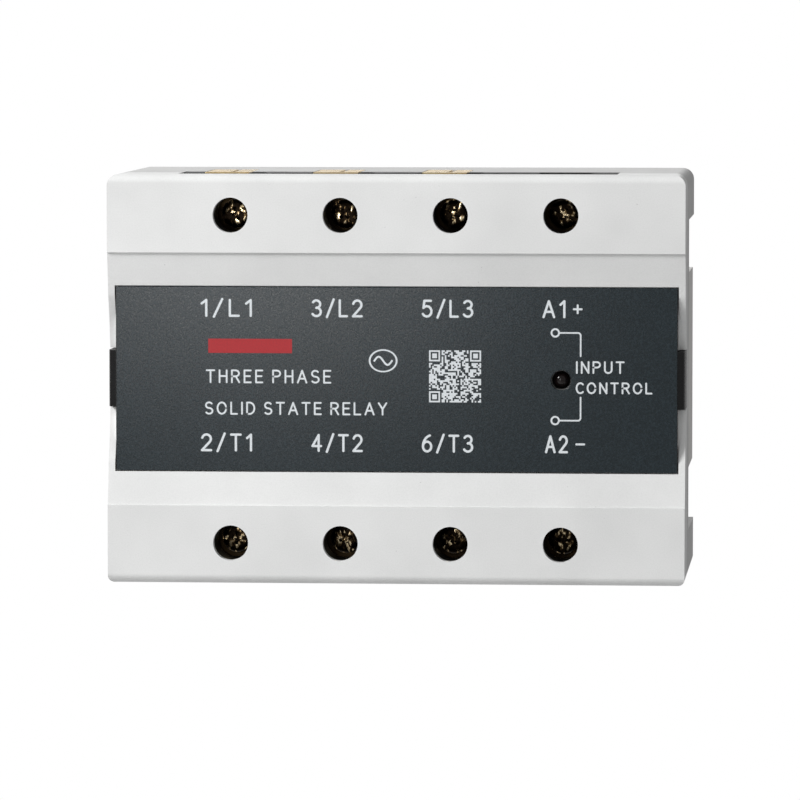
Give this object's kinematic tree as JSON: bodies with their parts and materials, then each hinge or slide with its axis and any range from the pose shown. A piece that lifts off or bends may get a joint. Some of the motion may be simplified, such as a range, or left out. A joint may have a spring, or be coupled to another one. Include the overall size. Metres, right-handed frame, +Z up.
{
  "type": "solid state relay",
  "caption": "Wide rail-mounted solid state relay: pale moulded case, dark recessed front plate, screw terminals along both long edges, finned heat sink behind.",
  "frame": {"origin": "centre of the rail seat, where the back of the heat sink meets the front of a 35 mm rail", "axes": "+X to the right seen from the front, along the rail; +Y backwards out of the rail seat, the front faces -Y; +Z up, from the load side terminals to the line side terminals"},
  "size_m": [0.105, 0.05, 0.0744],
  "materials": {
    "case_white": "fine moulded texture, slightly satin, off-white",
    "case_grey": "fine moulded texture, pale grey",
    "front_plate": "fine grained slate grey with pale printed markings",
    "terminal_block": "black moulded insulator",
    "terminal_brass": "stamped, lightly brushed",
    "clamp_washer": "stamped, lightly brushed",
    "terminal_screw": "turned, handled and slightly dulled",
    "heat_sink": "extruded and saw cut",
    "thermal_pad": "soft grey filled sheet",
    "triac_package": "moulded epoxy",
    "steel_screw": "zinc plated",
    "chip_package": "moulded epoxy",
    "capacitor_case": "potted plastic case",
    "resistor_body": "lacquered",
    "circuit_board": "solder resist",
    "led_lens": "tinted clear epoxy",
    "busbar_copper": "stamped copper",
    "rail_clip": "black moulded",
    "spring_steel": "drawn wire",
    "case_screw": "zinc plated"
  },
  "bodies": {
    "relay_case": {"front_cover": "case_white", "rear_housing": "case_grey", "terminal_block_upper": "terminal_block", "terminal_block_lower": "terminal_block", "terminal_L1": "terminal_brass", "terminal_T1": "terminal_brass", "terminal_L2": "terminal_brass", "terminal_T2": "terminal_brass", "terminal_L3": "terminal_brass", "terminal_T3": "terminal_brass", "terminal_A1": "terminal_brass", "terminal_A2": "terminal_brass", "heat_sink": "heat_sink", "insulating_sheet": "thermal_pad", "triac_1": "triac_package", "triac_screw_1": "steel_screw", "optocoupler_1": "chip_package", "snubber_capacitor_1": "capacitor_case", "snubber_resistor_1": "resistor_body", "triac_2": "triac_package", "triac_screw_2": "steel_screw", "optocoupler_2": "chip_package", "snubber_capacitor_2": "capacitor_case", "snubber_resistor_2": "resistor_body", "triac_3": "triac_package", "triac_screw_3": "steel_screw", "optocoupler_3": "chip_package", "snubber_capacitor_3": "capacitor_case", "snubber_resistor_3": "resistor_body", "circuit_board": "circuit_board", "status_led": "led_lens", "busbar_L1": "busbar_copper", "busbar_T1": "busbar_copper", "busbar_L2": "busbar_copper", "busbar_T2": "busbar_copper", "busbar_L3": "busbar_copper", "busbar_T3": "busbar_copper", "clip_spring": "spring_steel", "case_screw_1": "case_screw", "case_screw_2": "case_screw", "case_screw_3": "case_screw", "case_screw_4": "case_screw"},
    "front_plate": {"front_plate": "front_plate"},
    "rail_clip": {"rail_clip": "rail_clip"},
    "washer_L1": {"washer_L1": "clamp_washer"},
    "screw_L1": {"screw_L1": "terminal_screw"},
    "washer_T1": {"washer_T1": "clamp_washer"},
    "screw_T1": {"screw_T1": "terminal_screw"},
    "washer_L2": {"washer_L2": "clamp_washer"},
    "screw_L2": {"screw_L2": "terminal_screw"},
    "washer_T2": {"washer_T2": "clamp_washer"},
    "screw_T2": {"screw_T2": "terminal_screw"},
    "washer_L3": {"washer_L3": "clamp_washer"},
    "screw_L3": {"screw_L3": "terminal_screw"},
    "washer_T3": {"washer_T3": "clamp_washer"},
    "screw_T3": {"screw_T3": "terminal_screw"},
    "washer_A1": {"washer_A1": "clamp_washer"},
    "screw_A1": {"screw_A1": "terminal_screw"},
    "washer_A2": {"washer_A2": "clamp_washer"},
    "screw_A2": {"screw_A2": "terminal_screw"}
  },
  "joints": [
    {"name": "front_plate_release", "type": "slide", "parent": "relay_case", "child": "front_plate", "axis": [0, -1, 0], "range_m": [0, 0.009]},
    {"name": "rail_clip_release", "type": "slide", "parent": "relay_case", "child": "rail_clip", "axis": [0, 0, -1], "range_m": [0, 0.004], "stiffness_N_per_m": 1500, "springref_m": -0.002, "deforming": ["clip_spring"]},
    {"name": "washer_L1_lift", "type": "slide", "parent": "relay_case", "child": "washer_L1", "axis": [0, -1, 0], "range_m": [0, 0.003]},
    {"name": "screw_L1_turn", "type": "hinge", "parent": "washer_L1", "child": "screw_L1", "pos_m": [-0.03, 0, 0.0298], "axis": [0, -1, 0], "range_deg": [0, 1800]},
    {"name": "washer_T1_lift", "type": "slide", "parent": "relay_case", "child": "washer_T1", "axis": [0, -1, 0], "range_m": [0, 0.003]},
    {"name": "screw_T1_turn", "type": "hinge", "parent": "washer_T1", "child": "screw_T1", "pos_m": [-0.03, 0, -0.0298], "axis": [0, -1, 0], "range_deg": [0, 1800]},
    {"name": "washer_L2_lift", "type": "slide", "parent": "relay_case", "child": "washer_L2", "axis": [0, -1, 0], "range_m": [0, 0.003]},
    {"name": "screw_L2_turn", "type": "hinge", "parent": "washer_L2", "child": "screw_L2", "pos_m": [-0.01, 0, 0.0298], "axis": [0, -1, 0], "range_deg": [0, 1800]},
    {"name": "washer_T2_lift", "type": "slide", "parent": "relay_case", "child": "washer_T2", "axis": [0, -1, 0], "range_m": [0, 0.003]},
    {"name": "screw_T2_turn", "type": "hinge", "parent": "washer_T2", "child": "screw_T2", "pos_m": [-0.01, 0, -0.0298], "axis": [0, -1, 0], "range_deg": [0, 1800]},
    {"name": "washer_L3_lift", "type": "slide", "parent": "relay_case", "child": "washer_L3", "axis": [0, -1, 0], "range_m": [0, 0.003]},
    {"name": "screw_L3_turn", "type": "hinge", "parent": "washer_L3", "child": "screw_L3", "pos_m": [0.01, 0, 0.0298], "axis": [0, -1, 0], "range_deg": [0, 1800]},
    {"name": "washer_T3_lift", "type": "slide", "parent": "relay_case", "child": "washer_T3", "axis": [0, -1, 0], "range_m": [0, 0.003]},
    {"name": "screw_T3_turn", "type": "hinge", "parent": "washer_T3", "child": "screw_T3", "pos_m": [0.01, 0, -0.0298], "axis": [0, -1, 0], "range_deg": [0, 1800]},
    {"name": "washer_A1_lift", "type": "slide", "parent": "relay_case", "child": "washer_A1", "axis": [0, -1, 0], "range_m": [0, 0.003]},
    {"name": "screw_A1_turn", "type": "hinge", "parent": "washer_A1", "child": "screw_A1", "pos_m": [0.03, 0, 0.0298], "axis": [0, -1, 0], "range_deg": [0, 1800]},
    {"name": "washer_A2_lift", "type": "slide", "parent": "relay_case", "child": "washer_A2", "axis": [0, -1, 0], "range_m": [0, 0.003]},
    {"name": "screw_A2_turn", "type": "hinge", "parent": "washer_A2", "child": "screw_A2", "pos_m": [0.03, 0, -0.0298], "axis": [0, -1, 0], "range_deg": [0, 1800]}
  ],
  "couplings": [
    {"joint": "screw_L1_turn", "follows": "washer_L1_lift", "rad_per_m": 10472},
    {"joint": "screw_T1_turn", "follows": "washer_T1_lift", "rad_per_m": 10472},
    {"joint": "screw_L2_turn", "follows": "washer_L2_lift", "rad_per_m": 10472},
    {"joint": "screw_T2_turn", "follows": "washer_T2_lift", "rad_per_m": 10472},
    {"joint": "screw_L3_turn", "follows": "washer_L3_lift", "rad_per_m": 10472},
    {"joint": "screw_T3_turn", "follows": "washer_T3_lift", "rad_per_m": 10472},
    {"joint": "screw_A1_turn", "follows": "washer_A1_lift", "rad_per_m": 10472},
    {"joint": "screw_A2_turn", "follows": "washer_A2_lift", "rad_per_m": 10472}
  ]
}
